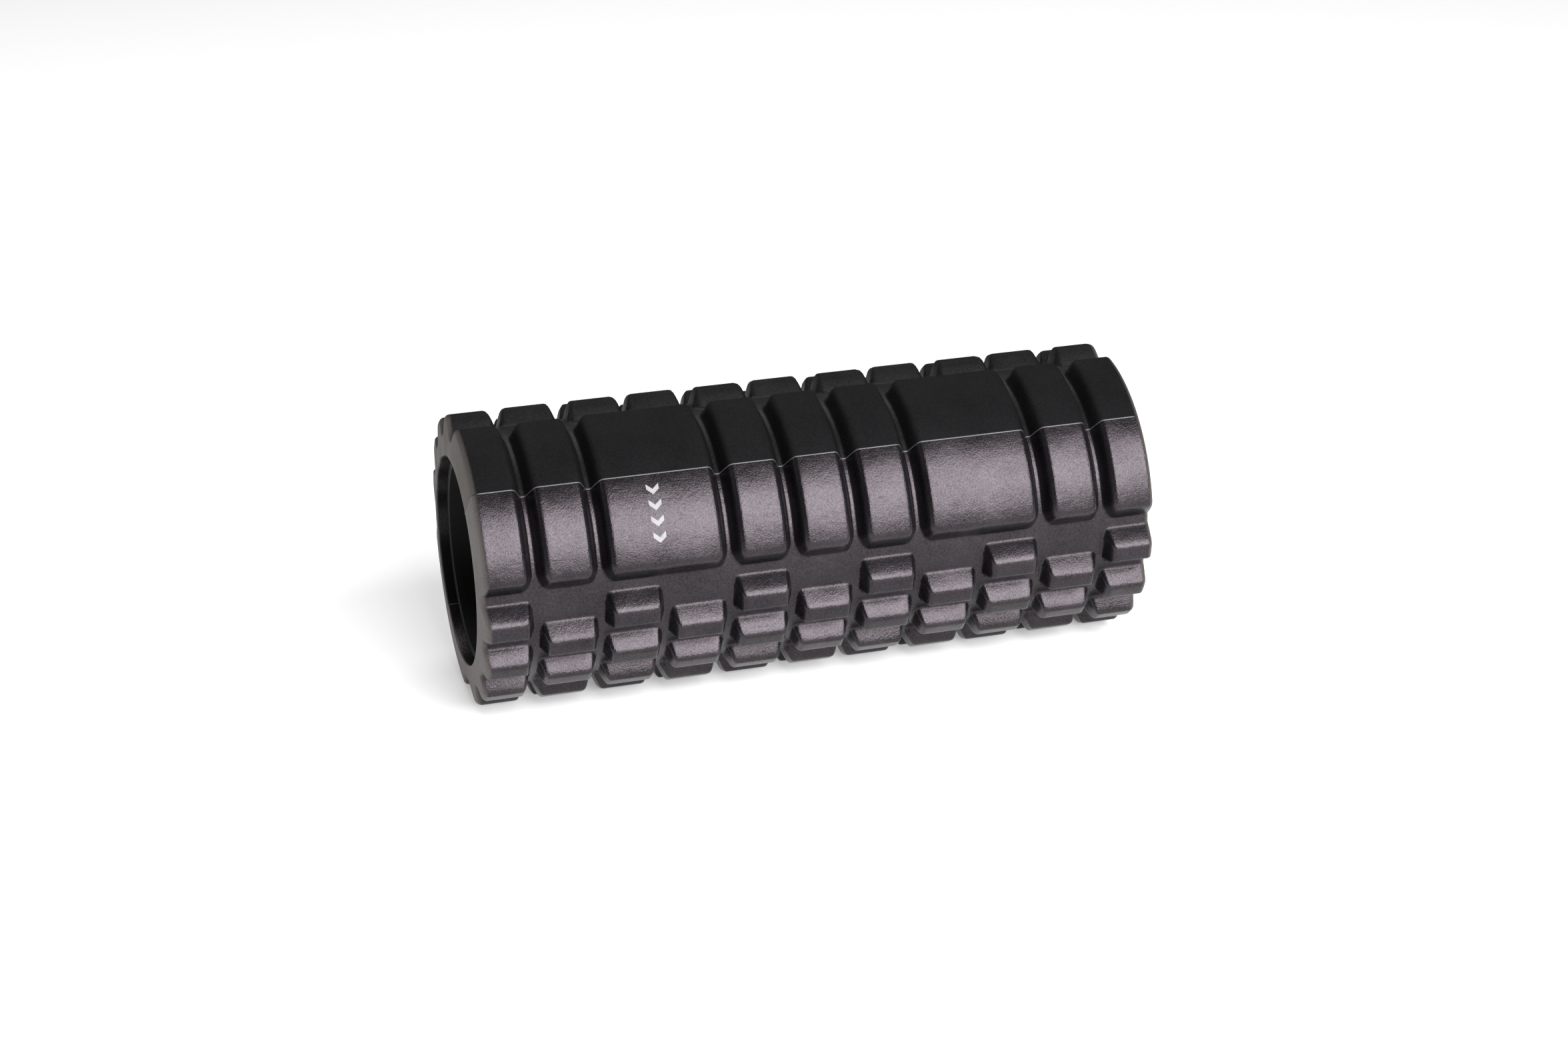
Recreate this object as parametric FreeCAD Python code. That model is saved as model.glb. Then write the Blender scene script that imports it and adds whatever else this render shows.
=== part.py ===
"""Hollow grid-pattern massage foam roller, lying on its side.

Frame: +X along the roller's axis, +Z up, -Y the side with the printed mark.
The origin is the centre of the bore, half way along the roller. All sizes are
in millimetres and degrees.

Angles round the roller start at -Y and turn upwards, so 0 is the front, 90 the
top, 180 the back and -90 the line that the roller rests on.

Two identical foam half shells are bonded round a rigid core tube and to each
other, one of them turned end for end. Long blocks straddle both seams, and
between the two bands of blocks each shell carries rows of small lugs, which
alternate from column to column. Columns are counted from the middle one, 0.
"""
import FreeCAD, Part
import math
import os

# ---- overall sizes -------------------------------------------------------
roller_length = 330.0
top_radius = 69.8            # over the blocks and the lugs
tread_depth = 8.5            # from a block's top to the groove floor
foam_under_groove = 11.0     # foam between the groove floor and the core's adhesive
seam_angle = 46.5            # where the front seam lies when the roller is at rest

# ---- rigid core ----------------------------------------------------------
core_wall = 3.2
core_recess = 5.0            # how far the tube stops short of each foam end
core_edge_chamfer = 0.6

# ---- adhesive ------------------------------------------------------------
core_bond_thickness = 0.3    # between the tube and the foam
seam_bond_thickness = 0.4    # between the two half shells

# ---- tread columns along the axis ---------------------------------------
column_pitch = 30.9
least_end_column = 8.0       # an end column narrower than this is left out
groove_half_width = 1.15     # half of the flat floor between two blocks
lug_side_margin = 1.6        # from a column's edge to the side of a lug's foot
block_side_run = 3.6         # how far a block's side wall leans in, foot to top
lug_side_run = 2.9
end_edge_chamfer = 2.3       # on the outer edge at both ends of the roller
wide_blocks = {-3: -2, 2: 3}  # a wide block covers these two columns

# ---- tread round the roller, degrees -------------------------------------
block_top_half_angle = 36.7  # a long block's top face, each side of its seam
block_end_lean = 5.1         # how far the end wall's foot lies past its top
lug_rows = 8
first_row_space = 14.55      # from the front blocks' feet to the first row's middle
last_row_space = 11.15       # from the last row's middle to the rear blocks' feet
lug_top_half_angle = 3.4
lug_inner_foot_angle = 7.0   # foot of the wall that faces the middle of the shell
lug_outer_foot_angle = 7.3   # foot of the other wall, for a row at the middle
outer_foot_growth = 0.078    # which leans more the nearer its row is to a seam

# ---- printed mark --------------------------------------------------------
mark_chevrons = 4
mark_column = -3             # on the wide block that starts at this column
mark_offset = -2.9           # from the middle of that block, along the axis
mark_angle_from_seam = 16.8  # to the middle of the mark
mark_pitch = 7.6             # from one chevron to the next, round the roller
mark_width = 6.0             # of a chevron, along the axis
mark_rise = 2.6              # of a chevron's point
mark_stroke = 2.6
ink_thickness = 0.08

# ---- cutting and joining -------------------------------------------------
root_depth = 1.0             # how far a block's solid reaches below the groove floor
clearance = 30.0             # of the cutting shapes, beyond the roller
spare_angle = 6.0            # of the rings that the blocks are cut from
overlap_angle = 4.0          # how far a half block is drawn past its seam
rim_step = 15.0              # a cutting shape's rim has a corner at least this often
past_end = 1.0               # how far a cutting shape passes an end or a face

# ---- worked out from the above ------------------------------------------
half_length = roller_length / 2
floor_radius = top_radius - tread_depth
foam_bore_radius = floor_radius - foam_under_groove
core_outer_radius = foam_bore_radius - core_bond_thickness
core_bore_radius = core_outer_radius - core_wall
core_half_length = half_length - core_recess
root_radius = floor_radius - root_depth
clear_radius = top_radius + clearance
shell_middle_angle = seam_angle - 90
half_bond = seam_bond_thickness / 2
whole_length = roller_length - 2 * least_end_column
side_columns = math.ceil((whole_length / column_pitch - 1) / 2)
columns = range(-side_columns, side_columns + 1)
block_foot_half_angle = block_top_half_angle + block_end_lean
lug_space = 180 - 2 * block_foot_half_angle - first_row_space - last_row_space
lug_row_pitch = lug_space / (lug_rows - 1)
first_row_angle = 90 - block_foot_half_angle - first_row_space

x_axis = FreeCAD.Vector(1, 0, 0)
origin = FreeCAD.Vector(0, 0, 0)


def around(x, radius, angle):
    """The point at this radius and angle round the roller's axis."""
    a = math.radians(angle)
    return FreeCAD.Vector(x, -radius * math.cos(a), radius * math.sin(a))


def bar(radius, half):
    """A round bar on the roller's axis, this far each way from the middle."""
    return Part.makeCylinder(radius, 2 * half, FreeCAD.Vector(-half, 0, 0), x_axis)


def turned(shape, angle):
    """A copy of the shape, turned upwards at the front by this angle."""
    copy = shape.copy()
    copy.rotate(origin, x_axis, -angle)
    return copy


def end_for_end(shape):
    """A copy of the shape, turned end for end about the line through the front seam."""
    copy = shape.copy()
    copy.rotate(origin, around(0, 1, seam_angle), 180)
    return copy


def slab(low, high, inner, outer, half):
    """A flat slab at the front: heights low to high, depths inner to outer."""
    corner = FreeCAD.Vector(-half, -outer, low)
    return Part.makeBox(2 * half, outer - inner, high - low, corner)


def column_edges(column):
    """Where this column of the tread starts and stops along the axis."""
    middle = column * column_pitch
    return middle - column_pitch / 2, middle + column_pitch / 2


def tread_profile(start, stop, side_run):
    """A block's outline along the axis, from its root to its top.

    start and stop are the feet of its side walls. A foot past the end of the
    roller is cut flush there, with the chamfer of the roller's end edge.
    """
    left = [(start, root_radius), (start, floor_radius), (start + side_run, top_radius)]
    right = [(stop - side_run, top_radius), (stop, floor_radius), (stop, root_radius)]
    edge = end_edge_chamfer
    if start <= -half_length:
        left = [(-half_length, root_radius), (-half_length, top_radius - edge)]
        left.append((-half_length + edge, top_radius))
    if stop >= half_length:
        right = [(half_length - edge, top_radius), (half_length, top_radius - edge)]
        right.append((half_length, root_radius))
    outline = left + right
    points = [around(x, radius, 0) for x, radius in outline + outline[:1]]
    return Part.Face(Part.makePolygon(points))


def wall_line(foot_angle, top_angle):
    """A wall's line in the cross-section, carried a little past its foot and its top."""
    foot = around(0, floor_radius, foot_angle)
    top = around(0, top_radius, top_angle)
    past = (top - foot) * (root_depth / tread_depth)
    return foot - past * 2, top + past


def sector(low_foot, low_top, high_top, high_foot, start, stop):
    """The space between two end walls, from one place along the axis to another."""
    low_in, low_out = wall_line(low_foot, low_top)
    high_in, high_out = wall_line(high_foot, high_top)
    steps = max(1, math.ceil((high_top - low_top) / rim_step))
    rim = [low_top + (high_top - low_top) * i / steps for i in range(steps + 1)]
    outside = [around(0, clear_radius, angle) for angle in rim]
    inside = [around(0, root_radius - 2 * root_depth, angle) for angle in reversed(rim[1:-1])]
    points = [low_in, low_out] + outside + [high_out, high_in] + inside + [low_in]
    face = Part.Face(Part.makePolygon(points))
    face.translate(FreeCAD.Vector(start, 0, 0))
    return face.extrude(FreeCAD.Vector(stop - start, 0, 0))


def raised(start, stop, side_run, low_foot, low_top, high_top, high_foot):
    """One raised block or lug, with leaning walls and a round top."""
    profile = turned(tread_profile(start, stop, side_run), low_foot - spare_angle)
    ring = profile.revolve(origin, x_axis, -(high_foot - low_foot + 2 * spare_angle))
    return ring.common(sector(low_foot, low_top, high_top, high_foot, start, stop))


def long_block_feet():
    """The feet of every long block's side walls, along the axis."""
    covered = set(wide_blocks.values())
    feet = []
    for column in columns:
        if column in covered:
            continue
        start = column_edges(column)[0] + groove_half_width
        stop = column_edges(wide_blocks.get(column, column))[1] - groove_half_width
        feet.append((start, stop))
    return feet


def lug_angles(row):
    """A row's wall feet and top edges: low foot, low top, high top, high foot."""
    from_middle = first_row_angle - row * lug_row_pitch
    outer = lug_outer_foot_angle + outer_foot_growth * abs(from_middle)
    towards_front = from_middle > 0
    high = outer if towards_front else lug_inner_foot_angle
    low = lug_inner_foot_angle if towards_front else outer
    middle = shell_middle_angle + from_middle
    top = lug_top_half_angle
    return middle - low, middle - top, middle + top, middle + high


def lugs():
    """The small lugs: even rows sit in odd columns and odd rows in even ones."""
    made = []
    for row in range(lug_rows):
        for column in columns:
            if (row + column) % 2 == 0:
                continue
            start, stop = column_edges(column)
            start += lug_side_margin
            stop -= lug_side_margin
            made.append(raised(start, stop, lug_side_run, *lug_angles(row)))
    return made


def half_blocks():
    """The half of each long block that belongs to the lower shell, at both seams."""
    made = []
    front = seam_angle
    rear = seam_angle - 180
    for start, stop in long_block_feet():
        low = (front - block_foot_half_angle, front - block_top_half_angle)
        seam = front + overlap_angle
        made.append(raised(start, stop, block_side_run, *low, seam, seam))
        high = (rear + block_top_half_angle, rear + block_foot_half_angle)
        seam = rear - overlap_angle
        made.append(raised(start, stop, block_side_run, seam, seam, *high))
    return made


def lower_foam_shell():
    """The half shell below the parting plane, moulded in one piece."""
    ring = bar(floor_radius, half_length).cut(bar(foam_bore_radius, half_length + past_end))
    whole = ring.fuse(half_blocks() + lugs())
    keep = Part.makeBox(
        roller_length + 2 * past_end,
        2 * clear_radius,
        clear_radius,
        FreeCAD.Vector(-half_length - past_end, -clear_radius, -clear_radius - half_bond),
    )
    return whole.common(turned(keep, seam_angle)).removeSplitter()


def core_tube():
    """The rigid tube that carries the load, with eased end edges."""
    tube = bar(core_outer_radius, core_half_length)
    tube = tube.cut(bar(core_bore_radius, core_half_length + past_end))
    rims = [edge for edge in tube.Edges if isinstance(edge.Curve, Part.Circle)]
    return tube.makeChamfer(core_edge_chamfer, rims)


def lower_core_bond():
    """The adhesive film between the tube and the lower foam shell."""
    film = bar(foam_bore_radius, core_half_length)
    film = film.cut(bar(core_outer_radius, core_half_length + past_end))
    reach = foam_bore_radius + past_end
    keep = slab(-reach, 0, -reach, reach, core_half_length + past_end)
    return film.common(turned(keep, seam_angle))


def front_seam_bond():
    """The adhesive layer between the shells at the front seam.

    It fills the gap right up to the tops of the blocks, as the squeezed-out
    line on a bonded roller does.
    """
    layer = slab(-half_bond, half_bond, 0, floor_radius, half_length)
    layer = layer.cut(bar(foam_bore_radius, half_length + past_end))
    for start, stop in long_block_feet():
        outline = tread_profile(start, stop, block_side_run)
        outline.translate(FreeCAD.Vector(0, 0, -half_bond))
        layer = layer.fuse(outline.extrude(FreeCAD.Vector(0, 0, seam_bond_thickness)))
    return turned(layer.common(bar(top_radius, half_length)).removeSplitter(), seam_angle)


def printed_mark():
    """Plain chevrons printed on the wide block, pointing round the roller."""
    start = column_edges(mark_column)[0]
    stop = column_edges(wide_blocks[mark_column])[1]
    middle = (start + stop) / 2 + mark_offset
    ink = bar(top_radius + ink_thickness, half_length)
    ink = ink.cut(bar(top_radius, half_length + past_end))
    chevrons = []
    for number in range(mark_chevrons):
        along = (number - (mark_chevrons - 1) / 2) * mark_pitch
        low = along - mark_stroke / 2
        high = along + mark_stroke / 2
        half = mark_width / 2
        corners = [(-half, low + mark_rise), (0, low), (half, low + mark_rise)]
        corners += [(half, high + mark_rise), (0, high), (-half, high + mark_rise)]
        points = [FreeCAD.Vector(middle + x, -clear_radius, z) for x, z in corners + corners[:1]]
        prism = Part.Face(Part.makePolygon(points)).extrude(FreeCAD.Vector(0, clear_radius, 0))
        chevrons.append(turned(prism.common(ink), seam_angle - mark_angle_from_seam))
    return Part.makeCompound([solid for piece in chevrons for solid in piece.Solids])


def single(shape):
    """The one solid in a shape."""
    solids = shape.Solids
    if len(solids) != 1:
        raise ValueError("expected one solid, got %d" % len(solids))
    return solids[0]


lower_shell = single(lower_foam_shell())
lower_bond = single(lower_core_bond())
front_bond = single(front_seam_bond())

nodes = {
    "core_tube": single(core_tube()),
    "lower_foam_shell": lower_shell,
    "upper_foam_shell": end_for_end(lower_shell),
    "lower_core_bond": lower_bond,
    "upper_core_bond": end_for_end(lower_bond),
    "front_seam_bond": front_bond,
    "rear_seam_bond": turned(front_bond, 180),
    "printed_mark": printed_mark(),
}

os.makedirs("parts", exist_ok=True)
for name, shape in nodes.items():
    shape.exportStep("parts/%s.step" % name)
    print("%-18s volume %10.1f mm3, valid %s" % (name, shape.Volume, shape.isValid()))
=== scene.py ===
"""Grid-pattern massage foam roller on a pale floor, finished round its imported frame.

Axes as in the frame: +X along the roller, +Z up, -Y the front. Sizes are in metres
and degrees. Angles round the roller start at -Y and turn upwards.
"""
import bpy
import math
from mathutils import Matrix, Vector


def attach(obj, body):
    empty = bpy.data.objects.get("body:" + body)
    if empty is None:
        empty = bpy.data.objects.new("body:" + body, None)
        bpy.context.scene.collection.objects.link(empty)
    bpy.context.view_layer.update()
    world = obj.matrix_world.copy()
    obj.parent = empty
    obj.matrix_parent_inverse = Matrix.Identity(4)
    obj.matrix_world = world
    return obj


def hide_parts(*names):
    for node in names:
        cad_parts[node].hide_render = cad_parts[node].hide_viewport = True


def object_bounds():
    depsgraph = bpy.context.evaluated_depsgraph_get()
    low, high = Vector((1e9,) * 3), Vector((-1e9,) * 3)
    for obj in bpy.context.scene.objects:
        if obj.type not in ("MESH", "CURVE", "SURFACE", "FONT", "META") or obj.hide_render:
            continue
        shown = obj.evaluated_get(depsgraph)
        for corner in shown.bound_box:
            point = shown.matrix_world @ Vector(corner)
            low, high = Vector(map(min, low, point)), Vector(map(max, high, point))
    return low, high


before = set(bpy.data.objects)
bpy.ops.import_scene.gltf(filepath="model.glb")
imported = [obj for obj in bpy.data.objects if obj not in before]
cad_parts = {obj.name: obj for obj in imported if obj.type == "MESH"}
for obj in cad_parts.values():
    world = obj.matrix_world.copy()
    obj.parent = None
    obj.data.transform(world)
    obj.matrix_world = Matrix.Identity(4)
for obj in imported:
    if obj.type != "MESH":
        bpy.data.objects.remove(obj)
cad_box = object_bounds()

# ---- Camera ----------------------------------------------------------------
# It stands front left of the roller and about half a metre above it, and looks at its
# centre. The view is upright apart from a slight lean of the horizon.
camera_distance = 1.465
camera_azimuth = math.radians(-15.64)
camera_elevation = math.radians(21.31)
camera_lean = math.radians(-1.256)
camera_aim = Vector((-0.0025, 0.0002, -0.0013))

camera_data = bpy.data.cameras.new("camera")
camera_data.sensor_width = 36.0
camera_data.lens = 68.66
camera_data.dof.use_dof = False
camera = bpy.data.objects.new("camera", camera_data)
bpy.context.scene.collection.objects.link(camera)
towards_camera = Vector((
    math.sin(camera_azimuth) * math.cos(camera_elevation),
    -math.cos(camera_azimuth) * math.cos(camera_elevation),
    math.sin(camera_elevation),
))
facing = (-towards_camera).to_track_quat("-Z", "Y").to_matrix().to_4x4()
camera.matrix_world = (
    Matrix.Translation(camera_aim + towards_camera * camera_distance)
    @ facing
    @ Matrix.Rotation(camera_lean, 4, "Z")
)
bpy.context.scene.camera = camera

# ---- Studio ----------------------------------------------------------------
# A wide pale floor, a broad soft light overhead and behind, a softbox at the front
# that the satin foam mirrors, and a small low light on the left end. The room is dim.
floor_reach = 9.0
floor_level = cad_box[0][2]
floor_grey = 0.9
floor_glow = 0.32
room_grey = 0.05


def new_material(name):
    """A material with nodes, and its shader."""
    material = bpy.data.materials.new(name)
    material.use_nodes = True
    return material, material.node_tree.nodes["Principled BSDF"]


def softbox(name, place, width, height, watts):
    """A rectangular light that faces the roller."""
    data = bpy.data.lights.new(name, "AREA")
    data.shape = "RECTANGLE"
    data.size = width
    data.size_y = height
    data.energy = watts
    light = bpy.data.objects.new(name, data)
    light.matrix_world = (
        Matrix.Translation(place) @ (-Vector(place)).to_track_quat("-Z", "Y").to_matrix().to_4x4()
    )
    bpy.context.scene.collection.objects.link(light)


floor_corners = [
    (x * floor_reach, y * floor_reach, floor_level)
    for x, y in ((-1, -1), (1, -1), (1, 1), (-1, 1))
]
floor_mesh = bpy.data.meshes.new("studio_floor")
floor_mesh.from_pydata(floor_corners, [], [(0, 1, 2, 3)])
floor = bpy.data.objects.new("studio_floor", floor_mesh)
bpy.context.scene.collection.objects.link(floor)

floor_paint, floor_shader = new_material("floor_paint")
floor_shader.inputs["Base Color"].default_value = (floor_grey, floor_grey, floor_grey, 1)
floor_shader.inputs["Roughness"].default_value = 0.9
floor_shader.inputs["Specular IOR Level"].default_value = 0.0
floor_shader.inputs["Emission Color"].default_value = (1, 1, 1, 1)
floor_shader.inputs["Emission Strength"].default_value = floor_glow
floor_mesh.materials.append(floor_paint)

softbox("overhead_light", place=(0.0, 1.6, 2.4), width=3.6, height=1.6, watts=40.0)
softbox("front_softbox", place=(0.5, -1.60, 1.02), width=1.6, height=1.45, watts=90.0)
softbox("end_light", place=(-1.9, 0.45, 0.45), width=0.8, height=0.6, watts=7.0)

studio_world = bpy.data.worlds.new("studio_world")
studio_world.use_nodes = True
background = studio_world.node_tree.nodes["Background"]
background.inputs["Color"].default_value = (room_grey, room_grey, room_grey, 1)
bpy.context.scene.world = studio_world
bpy.context.scene.view_settings.view_transform = "Standard"


# ---- Foam shells -------------------------------------------------------------
# Two identical half shells of moulded EVA foam, bonded round the core. Each is one
# piece with its tread: long blocks along both seams and eight rows of lugs between.
# The lower shell came out of its mould with a satin skin, the upper one matt.
class Field:
    """A number that varies over a surface, written as a formula of nodes."""

    def __init__(self, tree, socket):
        self.tree = tree
        self.socket = socket

    def step(self, operation, *others):
        """Adds one more node to the formula."""
        node = self.tree.nodes.new("ShaderNodeMath")
        node.operation = operation
        for place, value in enumerate((self,) + others):
            if isinstance(value, Field):
                self.tree.links.new(value.socket, node.inputs[place])
            else:
                node.inputs[place].default_value = value
        return Field(self.tree, node.outputs[0])

    def __add__(self, other):
        return self.step("ADD", other)

    def __sub__(self, other):
        return self.step("SUBTRACT", other)

    def __rsub__(self, other):
        return self * -1.0 + other

    def __mul__(self, other):
        return self.step("MULTIPLY", other)

    def __truediv__(self, other):
        return self.step("DIVIDE", other)

    __radd__ = __add__

    def size(self):
        return self.step("ABSOLUTE")

    def sign(self):
        return self.step("SIGN")

    def whole(self):
        return self.step("ROUND")

    def sine(self):
        return self.step("SINE")

    def cosine(self):
        return self.step("COSINE")

    def least(self, other, blend=0.0):
        """The lesser of two, with the ridge between them blended."""
        return self.step("SMOOTH_MIN", other, blend)

    def most(self, other, blend):
        """The greater of two, with the hollow between them blended."""
        return self.step("SMOOTH_MAX", other, blend)

    def rounded(self, other, reach):
        """The lesser of two, with the ridge between them rounded from zero up to reach."""
        one = (self * -1.0 + reach).step("MAXIMUM", 0.0)
        two = (other * -1.0 + reach).step("MAXIMUM", 0.0)
        return (one * one + two * two).step("SQRT") * -1.0 + reach

    def over(self, limit):
        """1 where the number is above the limit, 0 elsewhere."""
        return self.step("GREATER_THAN", limit)

    def within(self, low, high):
        return self.step("MAXIMUM", low).step("MINIMUM", high)

    def ramp(self, start, contrast):
        """0 up to start, then rising to 1."""
        return ((self - start) * contrast).within(0.0, 1.0)

    def between(self, low, high):
        """Goes from low to high where the number goes from 0 to 1."""
        return self * (high - low) + low


def number_inputs(tree, sizes):
    """Gives the tree a named number input for each size, and returns them as fields."""
    for name, value in sizes.items():
        item = tree.interface.new_socket(name, in_out="INPUT", socket_type="NodeSocketFloat")
        item.default_value = value
    start = tree.nodes.new("NodeGroupInput")
    return {name: Field(tree, start.outputs[name]) for name in sizes}


quarter_turn = math.pi / 2
one_degree = math.pi / 180

half_length = (cad_box[1][0] - cad_box[0][0]) / 2
end_tolerance = 0.0001       # points this close to the roller's end belong to it
top_radius = 0.0698
tread_depth = 0.0085
floor_radius = top_radius - tread_depth
foam_bore_radius = 0.0503
seam_angle = 46.5            # of the front seam, round the roller
half_shell = 90.0            # from a shell's middle to either of its seams
column_pitch = 0.0309
side_columns = 5             # whole columns each side of the middle one
last_lug = 3                 # each column has this many lugs after its first one
wide_block_column = 2.5      # the wide blocks lie over columns 2 and 3

# Reaches and blends are shares of the tread's height.
tread_sizes = {
    "Along": 0.0,
    "Angle": 0.0,
    "Column pitch": column_pitch,
    "Last column": column_pitch * side_columns,
    "Wide block centre": column_pitch * wide_block_column,
    "Block side foot": 0.00115,
    "Block side run": 0.0036,
    "Block end foot": 41.8,
    "Block end run": 5.1,
    "Lug side foot": 0.0016,
    "Lug side run": 0.0029,
    "First row": 33.65,
    "Row pitch": 10.1,
    "Lug top": 3.4,
    "Lug inner foot": 7.0,
    "Lug outer foot": 7.3,
    "Outer foot growth": 0.078,
    "Block corner reach": 1.6,
    "Block edge blend": 0.55,
    "Lug edge blend": 0.36,
    "Lug side blend": 0.7,
    "Foot blend": 0.14,
}
edge_level = 0.98            # where the walls meet the tops, as a share of the height
edge_band = 0.22             # how far the worn edge reaches from there
foot_band = 0.25             # how far the foot reaches up a wall


def tread_height_group():
    """How far the tread stands up, 0 on the groove floor and 1 on top of a block.

    Along is the distance from the roller's middle, Angle the degrees from the
    shell's middle, positive towards the front seam. The tread is the same on both
    sides of the roller's middle.
    """
    tree = bpy.data.node_groups.new("tread_height", "GeometryNodeTree")
    given = number_inputs(tree, tread_sizes)
    pitch = given["Column pitch"]
    along = given["Along"].within(given["Last column"] * -1.0, given["Last column"])
    column = (along / pitch).whole()
    in_column = pitch * 0.5 - (along - column * pitch).size()
    in_wide = pitch - (along.size() - given["Wide block centre"]).size()

    block_side = (in_column.step("MAXIMUM", in_wide) - given["Block side foot"]) / given["Block side run"]
    from_seam = half_shell - given["Angle"].size()
    block_end = (given["Block end foot"] - from_seam) / given["Block end run"]
    block = block_side.rounded(block_end, given["Block corner reach"])
    block_flat = block.least(1.0, given["Block edge blend"])

    # Odd is 1 in the end columns and every second one from them, 0 in the rest.
    odd = (column + float(side_columns + 1)).step("FLOORED_MODULO", 2.0)
    first_row = given["First row"] - (1.0 - odd) * given["Row pitch"]
    two_rows = given["Row pitch"] * 2.0
    down = ((first_row - given["Angle"]) / two_rows).whole().within(0.0, float(last_lug))
    row = first_row - down * two_rows
    outward = row.sign()
    from_row = (given["Angle"] - row) * outward
    outer_foot = given["Lug outer foot"] + given["Outer foot growth"] * row.size()
    outer_wall = (outer_foot - from_row) / (outer_foot - given["Lug top"])
    inner_foot = given["Lug inner foot"]
    inner_wall = (inner_foot + from_row) / (inner_foot - given["Lug top"])
    lug_side = (in_column - given["Lug side foot"]) / given["Lug side run"]
    lug_end = outer_wall.least(inner_wall)
    lug = lug_end.least(lug_side)
    side_flat = lug_side.least(1.0, given["Lug side blend"])
    lug_flat = side_flat.rounded(lug_end.least(1.0, given["Lug edge blend"]), 1.0)

    raised = block_flat.step("MAXIMUM", lug_flat)
    height = raised.most(0.0, given["Foot blend"])
    slope = block.step("MAXIMUM", lug)
    edge = (1.0 - (slope - edge_level).size() / edge_band).within(0.0, 1.0)
    foot = (1.0 - slope.size() / foot_band).within(0.0, 1.0)
    finish = tree.nodes.new("NodeGroupOutput")
    for name, field in {"Height": height, "Edge": edge, "Foot": foot}.items():
        tree.interface.new_socket(name, in_out="OUTPUT", socket_type="NodeSocketFloat")
        tree.links.new(field.socket, finish.inputs[name])
    return tree


tread_height = tread_height_group()


def tread_at(tree, along, angle):
    """Places the tread group in a tree, and returns its height, edge and foot fields."""
    node = tree.nodes.new("GeometryNodeGroup")
    node.node_tree = tread_height
    tree.links.new(along.socket, node.inputs["Along"])
    if isinstance(angle, Field):
        tree.links.new(angle.socket, node.inputs["Angle"])
    else:
        node.inputs["Angle"].default_value = angle
    return [Field(tree, node.outputs[name]) for name in ("Height", "Edge", "Foot")]


def finish_tree(tree, geometry, x, y, z, attributes):
    """Moves every point, keeps the named values, and ends the tree."""
    for name, field in attributes.items():
        store = tree.nodes.new("GeometryNodeStoreNamedAttribute")
        store.data_type = "FLOAT"
        store.domain = "POINT"
        store.inputs["Name"].default_value = name
        tree.links.new(geometry, store.inputs["Geometry"])
        tree.links.new(field.socket, store.inputs["Value"])
        geometry = store.outputs["Geometry"]
    place = tree.nodes.new("ShaderNodeCombineXYZ")
    for name, field in {"X": x, "Y": y, "Z": z}.items():
        tree.links.new(field.socket, place.inputs[name])
    move = tree.nodes.new("GeometryNodeSetPosition")
    tree.links.new(geometry, move.inputs["Geometry"])
    tree.links.new(place.outputs[0], move.inputs["Position"])
    realize = tree.nodes.new("GeometryNodeRealizeInstances")
    tree.links.new(move.outputs["Geometry"], realize.inputs["Geometry"])
    paint = tree.nodes.new("GeometryNodeSetMaterial")
    tree.interface.new_socket("Material", in_out="INPUT", socket_type="NodeSocketMaterial")
    start = tree.nodes.new("NodeGroupInput")
    tree.links.new(realize.outputs["Geometry"], paint.inputs["Geometry"])
    tree.links.new(start.outputs["Material"], paint.inputs["Material"])
    tree.interface.new_socket("Geometry", in_out="OUTPUT", socket_type="NodeSocketGeometry")
    finish = tree.nodes.new("NodeGroupOutput")
    tree.links.new(paint.outputs["Geometry"], finish.inputs["Geometry"])


def start_tree(name, sizes):
    """A tree for a modifier: its mesh, its size fields and its points' X, Y and Z."""
    tree = bpy.data.node_groups.new(name, "GeometryNodeTree")
    tree.interface.new_socket("Geometry", in_out="INPUT", socket_type="NodeSocketGeometry")
    fields = number_inputs(tree, sizes)
    geometry = tree.nodes.new("NodeGroupInput").outputs["Geometry"]
    position = tree.nodes.new("GeometryNodeInputPosition")
    split = tree.nodes.new("ShaderNodeSeparateXYZ")
    tree.links.new(position.outputs[0], split.inputs[0])
    return tree, geometry, fields, [Field(tree, socket) for socket in split.outputs]


end_edge_radius = 0.0023
end_lean = 0.09              # the end face leans in by this much of its height

shell_sizes = {
    "Half length": half_length,
    "Groove floor radius": floor_radius,
    "Tread depth": tread_depth,
    "Bore radius": foam_bore_radius,
    "Bore lip": 0.0009,
    "End edge": end_edge_radius,
    "End lean": end_lean,
    "Side": 1.0,
    "Half seam": 0.0002,
    "Shell middle": seam_angle - half_shell,
}


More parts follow.
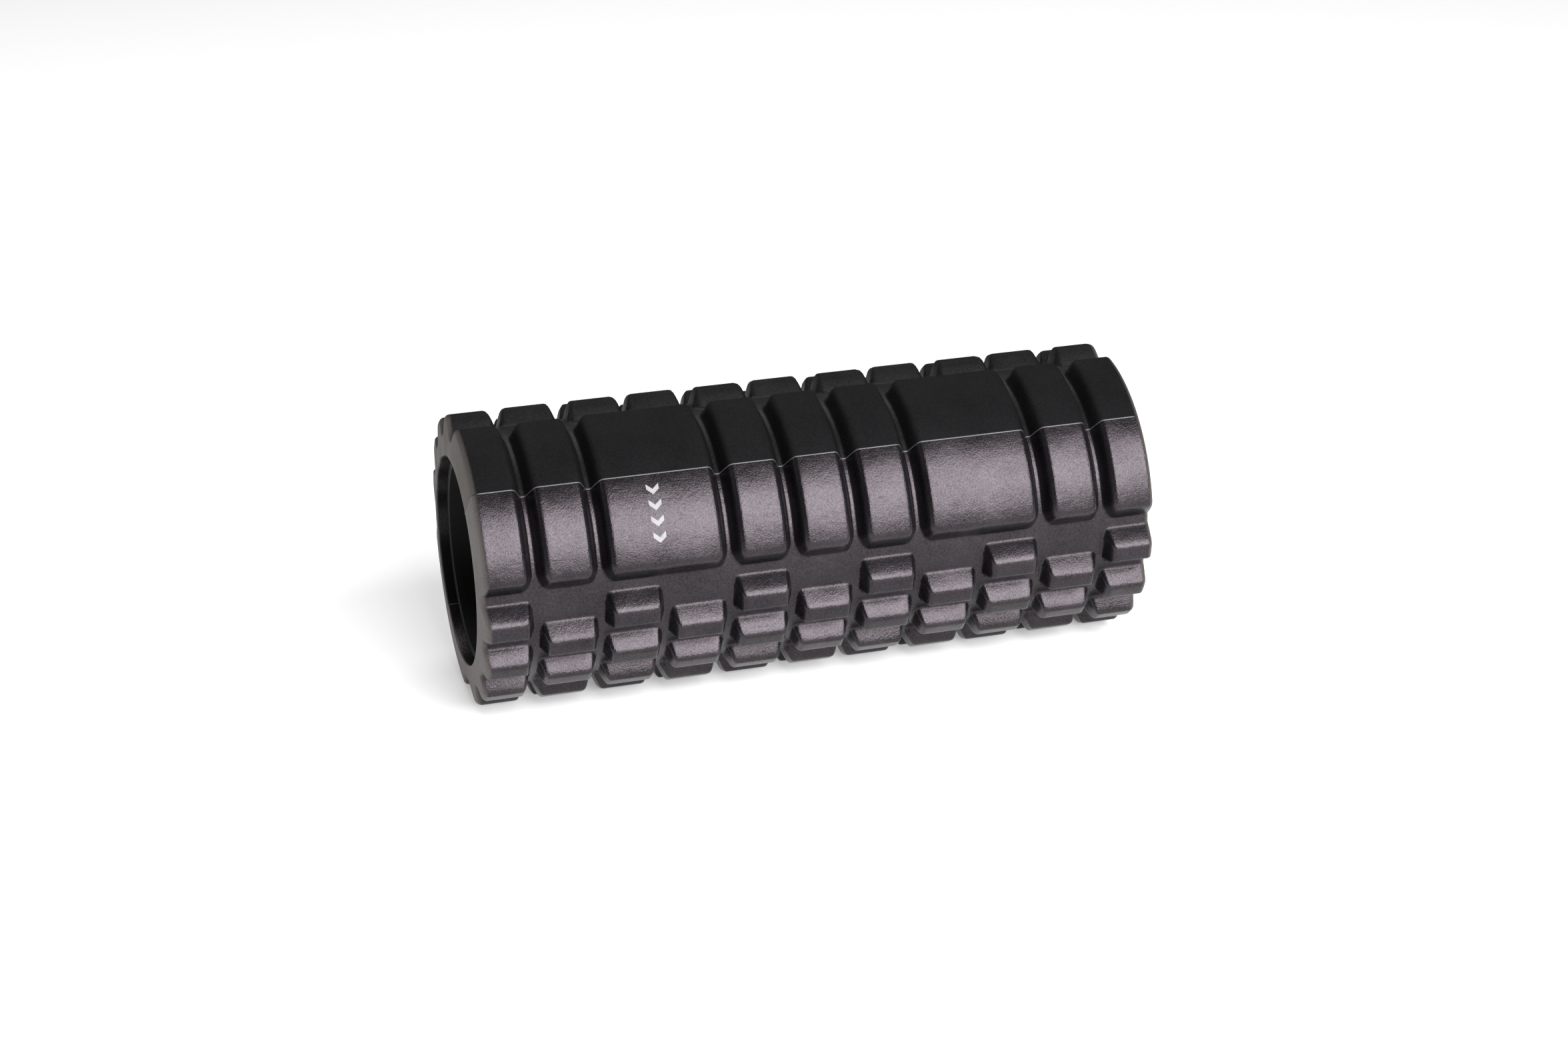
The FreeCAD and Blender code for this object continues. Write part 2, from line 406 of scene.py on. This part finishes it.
def foam_shell_tree():
    """Wraps the flat, unrolled shell round the core and raises its tread.

    On the unrolled mesh X is the distance along, Y the degrees from the shell's
    middle, and Z the station: 0 on the tread, 0 to 1 round the end edge, 1 to 2
    down the end face, 2 to 3 round the lip of the bore. Side is 1 where the degrees
    grow towards the front seam, -1 where they grow away from it.
    """
    tree, geometry, given, (along, angle, station) = start_tree("foam_shell", shell_sizes)
    height, edge, foot = tread_at(tree, along, angle * given["Side"])
    surface = given["Groove floor radius"] + given["Tread depth"] * height
    turn = station.within(0.0, 1.0) * quarter_turn
    down = (station - 1.0).within(0.0, 1.0)
    past_face = (station - 2.0).within(0.0, 1.0)
    lip = past_face * quarter_turn
    rim = surface - given["End edge"] * (1.0 - turn.cosine())
    face = given["Bore radius"] + given["Bore lip"]
    radius = rim + (face - rim) * down - given["Bore lip"] * lip.sine()
    lean = (radius - face).step("MAXIMUM", 0.0) * given["End lean"]
    inset = given["End edge"] * (1.0 - turn.sine()) + given["Bore lip"] * (1.0 - lip.cosine())
    at_end = given["Half length"] - lean - inset
    on_end = along.size().over(given["Half length"] - end_tolerance)
    x = along + (along.sign() * at_end - along) * on_end
    round_shell = angle * one_degree
    outward = (radius * round_shell.cosine()).step("MAXIMUM", given["Half seam"])
    forward = radius * round_shell.sine()
    middle = given["Shell middle"] * one_degree
    y = (outward * middle.cosine() - forward * middle.sine()) * -1.0
    z = outward * middle.sine() + forward * middle.cosine()
    # end_face marks the end faces, where the skin's colour turns paler as painted light.
    on_face = turn.sine() - past_face
    marks = {"tread_height": height, "tread_edge": edge, "tread_foot": foot, "end_face": on_face}
    finish_tree(tree, geometry, x, y, z, marks)
    return tree


lines_per_column = 34
line_crowding = 0.62         # how much closer the lines lie at a column's edges
end_strip = 0.0045           # left to the end edge and the leaning end face
tread_stop = half_length - end_strip
least_line_gap = 0.0004
end_edge_steps = 6
face_stations = [1.35, 1.7]  # between the end edge and the lip of the bore
lip_steps = 4
sharp_angle = math.radians(50)


def lines_along():
    """Stations along the tread, close together where the blocks' side walls are."""
    lines = [-tread_stop]
    count = lines_per_column * (side_columns + 1)
    for number in range(-count, count + 1):
        even = number * column_pitch / lines_per_column
        wave = math.sin(2 * math.pi * even / column_pitch)
        place = even + line_crowding * column_pitch / (2 * math.pi) * wave
        if abs(place) < tread_stop - least_line_gap:
            lines.append(place)
    return lines + [tread_stop]


def lines_round():
    """Degrees from the shell's middle, close together over the lugs and block ends."""
    close_limit = 56.0
    close_count = 112
    open_count = 16
    open_step = (half_shell - close_limit) / open_count
    side = [close_limit * number / close_count for number in range(close_count)]
    side += [close_limit + open_step * number for number in range(open_count + 1)]
    return [-angle for angle in reversed(side[1:])] + side


def lofted(name, rings):
    """A closed mesh through rings that have the same number of points each."""
    count = len(rings[0])
    faces = []
    for row in range(len(rings) - 1):
        low = row * count
        for place in range(count):
            after = (place + 1) % count
            faces.append((low + place, low + after, low + count + after, low + count + place))
    last = (len(rings) - 1) * count
    faces.append(tuple(reversed(range(count))))
    faces.append(tuple(range(last, last + count)))
    mesh = bpy.data.meshes.new(name)
    mesh.from_pydata([point for ring in rings for point in ring], [], faces)
    return mesh


def unrolled_shell():
    """The closed shell laid flat: one loop of stations for each line round."""
    edge = [step / end_edge_steps for step in range(end_edge_steps + 1)]
    lip = [2 + step / lip_steps for step in range(lip_steps + 1)]
    end = [(half_length, station) for station in edge + face_stations + lip]
    loop = [(-x, station) for x, station in reversed(end)]
    loop += [(x, 0.0) for x in lines_along()] + end
    rings = [[(x, angle, station) for x, station in loop] for angle in lines_round()]
    return lofted("unrolled_shell", rings)


def grown(name, flat_mesh, tree, sizes, material):
    """Runs a shape's tree on its flat mesh, and keeps the result as a plain piece."""
    draft = bpy.data.objects.new(name + "_draft", flat_mesh)
    bpy.context.scene.collection.objects.link(draft)
    modifier = draft.modifiers.new("shape", "NODES")
    modifier.node_group = tree
    for item in tree.interface.items_tree:
        if item.in_out == "INPUT" and item.name in sizes:
            modifier[item.identifier] = sizes[item.name]
        if item.in_out == "INPUT" and item.name == "Material":
            modifier[item.identifier] = material
    depsgraph = bpy.context.evaluated_depsgraph_get()
    mesh = bpy.data.meshes.new_from_object(draft.evaluated_get(depsgraph))
    bpy.data.objects.remove(draft)
    mesh.name = name
    mesh.polygons.foreach_set("use_smooth", [True] * len(mesh.polygons))
    mesh.set_sharp_from_angle(angle=sharp_angle)
    piece = bpy.data.objects.new(name, mesh)
    bpy.context.scene.collection.objects.link(piece)
    return piece


def shader_node(tree, kind, **inputs):
    """A shader node with some inputs set: a field, a socket or a plain value each."""
    node = tree.nodes.new(kind)
    for name, value in inputs.items():
        socket = node.inputs[name]
        if isinstance(value, Field):
            tree.links.new(value.socket, socket)
        elif isinstance(value, bpy.types.NodeSocket):
            tree.links.new(value, socket)
        else:
            socket.default_value = value
    return node


def named_value(tree, name):
    """The value that a piece's shape tree left on its points under this name."""
    node = tree.nodes.new("ShaderNodeAttribute")
    node.attribute_name = name
    return Field(tree, node.outputs["Fac"])


def noise(tree, at, scale, detail, roughness=0.5):
    """A noise pattern as a field from 0 to 1."""
    node = shader_node(tree, "ShaderNodeTexNoise", Vector=at, Scale=scale, Detail=detail)
    node.inputs["Roughness"].default_value = roughness
    return Field(tree, node.outputs["Fac"])


def cells(tree, at, scale):
    """How far each point lies from the centre of its cell, as a field."""
    node = shader_node(tree, "ShaderNodeTexVoronoi", Vector=at, Scale=scale)
    return Field(tree, node.outputs["Distance"])


def stretched(tree, at, scale, turn=(0.0, 0.0, 0.0)):
    """The same places, scaled along each axis and turned."""
    node = shader_node(tree, "ShaderNodeMapping", Vector=at, Scale=scale, Rotation=turn)
    return node.outputs["Vector"]


def colour_mix(tree, factor, low, high):
    """Goes from the low colour to the high one: a socket or a plain colour each."""
    node = tree.nodes.new("ShaderNodeMix")
    node.data_type = "RGBA"
    tree.links.new(factor.socket, node.inputs["Factor"])
    for name, colour in {"A": low, "B": high}.items():
        if isinstance(colour, bpy.types.NodeSocket):
            tree.links.new(colour, node.inputs[name])
        else:
            node.inputs[name].default_value = tuple(colour) + (1,)
    return node.outputs["Result"]


def bump(tree, relief, height):
    """A bump node that raises the surface by this height, in metres."""
    return shader_node(tree, "ShaderNodeBump", Height=relief, Strength=1.0, Distance=height)


def dress(tree, shader, tone, rough, relief, height):
    """Gives a shader its colour, its roughness and the relief of its surface."""
    tree.links.new(tone, shader.inputs["Base Color"])
    tree.links.new(rough.socket, shader.inputs["Roughness"])
    tree.links.new(bump(tree, relief, height).outputs["Normal"], shader.inputs["Normal"])


# The skin's patterns are mixed by these shares, into its colour, brightness,
# roughness, sparkle and relief.
skin_sizes = {
    "Edge": 0.0,
    "Foot": 0.0,
    "End face": 0.0,
    "Roughness": 0.5,
    "Grain depth": 1.0,
    "Wear": 0.3,
}
least_edge_wear = 0.4        # where the flow marks are darkest
most_edge_wear = 1.6         # where they are palest
scuff_start = 0.70           # the part of the noise that makes a scuff
scuff_contrast = 14.0
scuff_paleness = 0.10
scuff_depth = 0.04
scuff_roughness = 0.08
speck_radius = 0.055         # as a share of the dust pattern's cells
speck_start = 0.62           # the part of the rarer noise that has any dust
speck_paleness = 0.55
speck_roughness = 0.3
foot_roughness = 0.08
end_face_roughness = 0.62
base_brightness = 0.55
fine_brightness = 0.55
flow_brightness = 0.24
broad_brightness = 0.12
flow_roughness = 0.12
fine_roughness = 0.10
flow_sparkle = 0.8
fine_sparkle = 2.0
sparkle_range = (0.5, 1.7)
fine_relief = 0.7
pore_relief = 0.5
grain_height = 0.00007
swell_height = 0.0005


def foam_skin_group():
    """The moulded skin of the foam: fine grain, faint flow marks, scuffs and dust, and on the end faces a
    paler colour that is painted light.
    """
    tree = bpy.data.node_groups.new("foam_skin", "ShaderNodeTree")
    for name in ("Colour", "Worn colour", "Painted light end colour"):
        tree.interface.new_socket(name, in_out="INPUT", socket_type="NodeSocketColor")
    given = number_inputs(tree, skin_sizes)
    start = tree.nodes.new("NodeGroupInput")
    at = tree.nodes.new("ShaderNodeTexCoord").outputs["Object"]
    fine = noise(tree, at, scale=1300.0, detail=3.0, roughness=0.65)
    pores = cells(tree, at, scale=1500.0)
    flow = noise(tree, at, scale=55.0, detail=4.0, roughness=0.55)
    broad = noise(tree, at, scale=14.0, detail=2.0)

    streaks = stretched(tree, at, scale=(60.0, 900.0, 500.0), turn=(0.3, 0.2, 0.9))
    scuff = noise(tree, streaks, scale=1.0, detail=1.0).ramp(scuff_start, scuff_contrast)
    dust = (speck_radius - cells(tree, at, scale=260.0)).over(0.0)
    speck = dust * noise(tree, at, scale=31.0, detail=2.0).over(speck_start)

    patchy = flow.between(least_edge_wear, most_edge_wear)
    worn = given["Edge"] * given["Wear"] * patchy * (1.0 - given["End face"])
    pale = (worn + scuff * scuff_paleness + speck * speck_paleness).within(0.0, 1.0)
    skin_tone = colour_mix(tree, pale, start.outputs["Colour"], start.outputs["Worn colour"])
    # On the end faces the colour turns to the paler end colour: painted light, standing in for the light
    # that falls on the ends from the left.
    tone = colour_mix(tree, given["End face"], skin_tone, start.outputs["Painted light end colour"])
    brightness = base_brightness + fine * fine_brightness + flow * flow_brightness
    brightness = brightness + broad * broad_brightness
    mottle = shader_node(tree, "ShaderNodeHueSaturation", Color=tone, Value=brightness)

    rough = given["Roughness"] + (flow - 0.5) * flow_roughness + (fine - 0.5) * fine_roughness
    rough = rough + scuff * scuff_roughness + given["Foot"] * foot_roughness + speck * speck_roughness
    rough = (rough + (end_face_roughness - rough) * given["End face"]).within(0.05, 1.0)
    sparkle = (fine - 0.5) * fine_sparkle + (flow - 0.5) * flow_sparkle + 1.0
    sparkle = sparkle.within(*sparkle_range)
    grain = bump(tree, (fine * fine_relief + pores * pore_relief) * given["Grain depth"], grain_height)
    swell = bump(tree, flow + scuff * -scuff_depth, swell_height)
    tree.links.new(grain.outputs["Normal"], swell.inputs["Normal"])

    finish = tree.nodes.new("NodeGroupOutput")
    outputs = {
        "Colour": ("NodeSocketColor", mottle.outputs["Color"]),
        "Roughness": ("NodeSocketFloat", rough.socket),
        "Sparkle": ("NodeSocketFloat", sparkle.socket),
        "Normal": ("NodeSocketVector", swell.outputs["Normal"]),
    }
    for name, (kind, socket) in outputs.items():
        tree.interface.new_socket(name, in_out="OUTPUT", socket_type=kind)
        tree.links.new(socket, finish.inputs[name])
    return tree


foam_skin = foam_skin_group()


def foam(name, colour, worn_colour, top, groove, tint, grain, wear):
    """A foam skin: its colours, its roughness and gloss on the tread's tops and in
    the grooves, the tint of its shine, its grain and its wear."""
    material, shader = new_material(name)
    tree = material.node_tree
    skin = tree.nodes.new("ShaderNodeGroup")
    skin.node_tree = foam_skin
    skin.inputs["Colour"].default_value = colour + (1,)
    skin.inputs["Worn colour"].default_value = worn_colour + (1,)
    # The end faces' paler colour is painted light.
    skin.inputs["Painted light end colour"].default_value = end_face_painted_light + (1,)
    skin.inputs["Grain depth"].default_value = grain
    skin.inputs["Wear"].default_value = wear
    for socket, mark in {"Edge": "tread_edge", "Foot": "tread_foot", "End face": "end_face"}.items():
        tree.links.new(named_value(tree, mark).socket, skin.inputs[socket])
    tree.links.new(skin.outputs["Colour"], shader.inputs["Base Color"])
    tree.links.new(skin.outputs["Roughness"], shader.inputs["Roughness"])
    tree.links.new(skin.outputs["Normal"], shader.inputs["Normal"])
    raised = named_value(tree, "tread_height")
    roughness, gloss = [raised.between(low, high) for low, high in zip(groove, top)]
    tree.links.new(roughness.socket, skin.inputs["Roughness"])
    sparkle = Field(tree, skin.outputs["Sparkle"])
    tree.links.new((gloss * sparkle).socket, shader.inputs["Specular IOR Level"])
    shader.inputs["Specular Tint"].default_value = tint + (1,)
    return material


# The end faces get a much paler, olive colour than the skin: painted light, standing in for the light
# that falls on the ends from the left.
end_face_painted_light = (0.085, 0.077, 0.070)
satin_finish = (0.29, 0.4)   # roughness, then gloss
matte_finish = (0.7, 0.13)
matte_groove_finish = (0.45, 0.28)
satin_foam = foam(
    "satin_foam",
    colour=(0.0035, 0.0032, 0.0037),
    worn_colour=(0.03, 0.027, 0.03),
    top=satin_finish,
    groove=satin_finish,
    tint=(1.0, 0.87, 0.96),
    grain=1.3,
    wear=0.25,
)
matte_foam = foam(
    "matte_foam",
    colour=(0.0022, 0.0021, 0.0025),
    worn_colour=(0.012, 0.012, 0.012),
    top=matte_finish,
    groove=matte_groove_finish,
    tint=(1.0, 0.97, 1.0),
    grain=2.0,
    wear=0.3,
)

# The upper shell is the same moulding turned end for end at the front seam, so its
# degrees run the other way.
shell_tree = foam_shell_tree()
shells = {
    "lower_foam_shell": (seam_angle - half_shell, 1.0, satin_foam, "satin_foam"),
    "upper_foam_shell": (seam_angle + half_shell, -1.0, matte_foam, "matte_foam"),
}
for node, (middle, side, material, slot) in shells.items():
    placing = {"Shell middle": middle, "Side": side}
    shell = grown(node + "_skin", unrolled_shell(), shell_tree, placing, material)
    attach(shell, "root")
    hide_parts(node)

# ---- Seam lines ---------------------------------------------------------------
# The glue that joins the two shells. It is squeezed out along each seam and has set
# as a thin, raised, glossy line that follows the blocks and the grooves.
bead_sizes = {
    "Half length": half_length,
    "Groove floor radius": floor_radius,
    "Tread depth": tread_depth,
    "Bore radius": foam_bore_radius,
    "End edge": end_edge_radius,
    "End lean": end_lean,
    "Seam angle": seam_angle,
}
far_below = -1.0             # past the bore's wall
bead_section = [             # across the seam, then above the foam
    (-0.00020, far_below),
    (-0.00020, -0.00008),
    (-0.00022, 0.00003),
    (-0.00012, 0.00010),
    (0.0, 0.00012),
    (0.00012, 0.00010),
    (0.00022, 0.00003),
    (0.00020, -0.00008),
    (0.00020, far_below),
]


def seam_bead_tree():
    """Lays the straight bead over the tread at the seam.

    On the flat mesh X is the distance along, Y across the seam and Z above the
    foam. What lies below the bore's wall is brought up to it. Its two ends follow
    the end faces of the foam.
    """
    tree, geometry, given, (along, across, above) = start_tree("seam_bead", bead_sizes)
    height = tread_at(tree, along, half_shell)[0]
    on_end = along.size().over(given["Half length"] - end_tolerance)
    surface = given["Groove floor radius"] + given["Tread depth"] * height - given["End edge"] * on_end
    radius = (surface + above).step("MAXIMUM", given["Bore radius"])
    x = along - along.sign() * (radius - given["Bore radius"]) * given["End lean"] * on_end
    seam = given["Seam angle"] * one_degree
    y = (radius * seam.cosine() + across * seam.sine()) * -1.0
    z = radius * seam.sine() - across * seam.cosine()
    finish_tree(tree, geometry, x, y, z, {})
    return tree


def straight_bead():
    """The bead laid flat, with its section repeated at every line along the tread."""
    lines = [-half_length] + lines_along() + [half_length]
    rings = [[(x, across, above) for across, above in bead_section] for x in lines]
    return lofted("straight_bead", rings)


glue_shades = (0.45, 1.4)    # its darkest and palest patches, as shares of its colour
glue_lump_height = 0.0001


def glue(name, colour, gloss):
    """Glue with slight lumps and darker patches."""
    material, shader = new_material(name)
    tree = material.node_tree
    at = tree.nodes.new("ShaderNodeTexCoord").outputs["Object"]
    lumps = noise(tree, at, scale=420.0, detail=3.0)
    patches = noise(tree, at, scale=60.0, detail=2.0)
    dark, pale = [tuple(part * shade for part in colour) for shade in glue_shades]
    tone = colour_mix(tree, patches, dark, pale)
    dress(tree, shader, tone, lumps.between(0.2, 0.5), lumps, glue_lump_height)
    shader.inputs["Specular IOR Level"].default_value = gloss
    return material


seam_glue = glue("seam_glue", colour=(0.12, 0.115, 0.12), gloss=0.5)
bead_tree = seam_bead_tree()
seams = {"front_seam_bond": seam_angle, "rear_seam_bond": seam_angle - 2 * half_shell}
for node, angle in seams.items():
    bead = grown(node + "_bead", straight_bead(), bead_tree, {"Seam angle": angle}, seam_glue)
    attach(bead, "root")
    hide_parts(node)

# ---- Core tube -----------------------------------------------------------------
# The rigid tube of black extruded ABS that carries the user's weight. It stops short
# of the foam at both ends. Its bore keeps faint lines from the extrusion die.
die_line_height = 0.00012


def repaint(node, material):
    """Gives a kept CAD node its finished material."""
    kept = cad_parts[node]
    kept.data.materials.clear()
    kept.data.materials.append(material)


def extruded_plastic():
    """Black plastic with cloudy patches and faint lines along it."""
    material, shader = new_material("extruded_plastic")
    tree = material.node_tree
    at = tree.nodes.new("ShaderNodeTexCoord").outputs["Object"]
    lines = noise(tree, stretched(tree, at, scale=(3.0, 420.0, 420.0)), scale=1.0, detail=3.0)
    cloud = noise(tree, at, scale=40.0, detail=4.0)
    tone = colour_mix(tree, cloud, (0.002, 0.002, 0.0022), (0.004, 0.004, 0.0042))
    rough = lines.between(0.5, 0.7) + cloud * 0.1
    dress(tree, shader, tone, rough, lines, die_line_height)
    shader.inputs["Specular IOR Level"].default_value = 0.3
    return material


repaint("core_tube", extruded_plastic())

# ---- Core bond films -------------------------------------------------------------
# Contact adhesive, rolled on in a thin film between the tube and each shell. Only its
# edge shows, just inside the ends.
film_glue = glue("film_glue", colour=(0.008, 0.007, 0.006), gloss=0.2)
for node in ("lower_core_bond", "upper_core_bond"):
    repaint(node, film_glue)

# ---- Printed mark ----------------------------------------------------------------
# Plain chevrons, pad-printed in pale grey ink on a wide block. The ink is thin, so
# the foam's grain shows through, and it has worn in patches.
wear_start = 0.52            # the part of the noise where the ink is worn
wear_contrast = 3.0
ink_grain_height = 0.00006


def pad_ink():
    """Grey ink with the foam's grain in it, darker where it has worn."""
    material, shader = new_material("pad_ink")
    tree = material.node_tree
    at = tree.nodes.new("ShaderNodeTexCoord").outputs["Object"]
    grain = noise(tree, at, scale=1150.0, detail=3.0, roughness=0.6)
    thin = noise(tree, at, scale=300.0, detail=3.0).ramp(wear_start, wear_contrast)
    tone = colour_mix(tree, thin, (0.29, 0.285, 0.29), (0.20, 0.195, 0.20))
    dress(tree, shader, tone, grain.between(0.45, 0.70), grain, ink_grain_height)
    return material


repaint("printed_mark", pad_ink())
